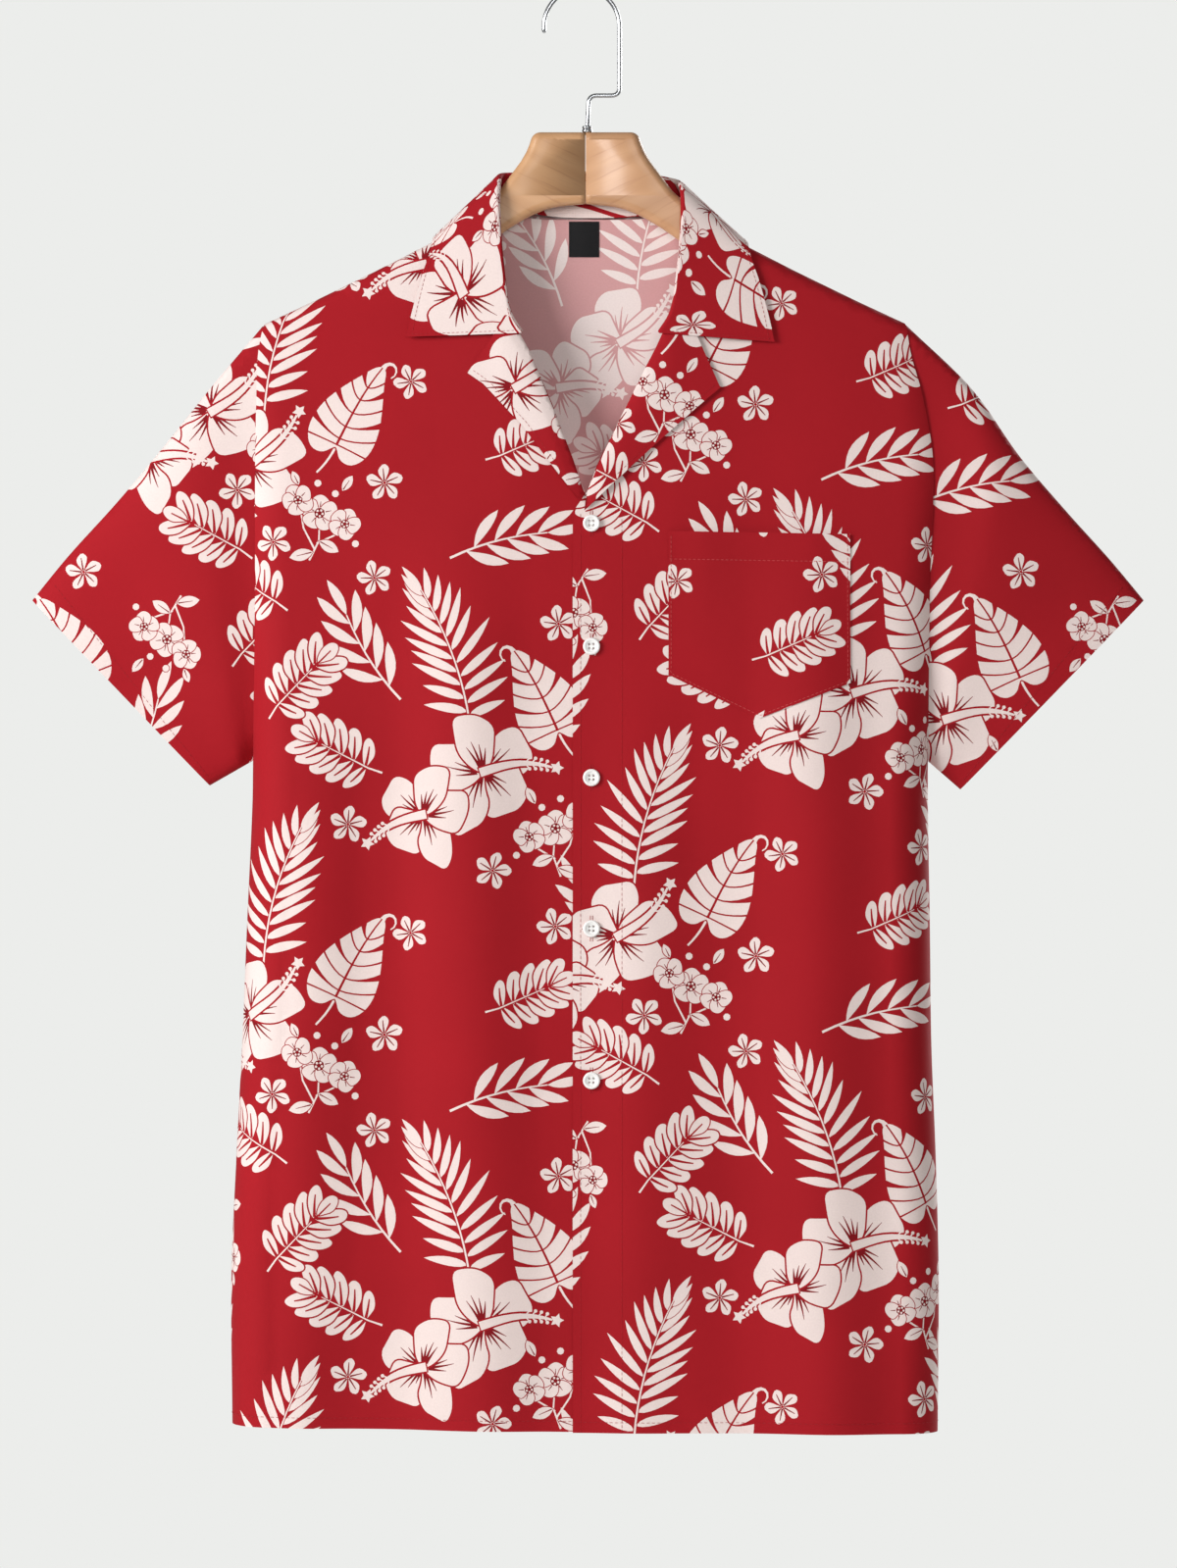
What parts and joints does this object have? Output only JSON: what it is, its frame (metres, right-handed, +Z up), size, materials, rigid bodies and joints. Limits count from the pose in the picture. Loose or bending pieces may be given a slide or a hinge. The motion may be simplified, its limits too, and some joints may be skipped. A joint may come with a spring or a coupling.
{
  "type": "hawaiian shirt on a hanger",
  "caption": "Short-sleeved camp-collar shirt with an all-over flower print, buttoned front and chest pocket, hanging on a wooden hanger with a wire hook.",
  "frame": {"origin": "inside top of the hook, where a rail holds it", "axes": "+Z up, the front faces -Y, +X to the wearer's left"},
  "size_m": [0.6816, 0.0545, 0.8837],
  "materials": {
    "printed_cloth": "smooth light plain weave, red with an off-white flower print",
    "button": "semi-gloss white",
    "label": "woven satin, bare",
    "hanger_wood": "clear-varnished beech",
    "hook_metal": "bright plated wire"
  },
  "bodies": {
    "root": {"front_right": "printed_cloth", "front_left": "printed_cloth", "back": "printed_cloth", "sleeve_right": "printed_cloth", "sleeve_left": "printed_cloth", "lapel_right": "printed_cloth", "lapel_left": "printed_cloth", "collar": "printed_cloth", "pocket": "printed_cloth", "button_1": "button", "button_2": "button", "button_3": "button", "button_4": "button", "button_5": "button", "neck_label": "label", "hanger_right": "hanger_wood", "hanger_left": "hanger_wood", "hook": "hook_metal", "hook_nut": "hook_metal"}
  },
  "joints": []
}
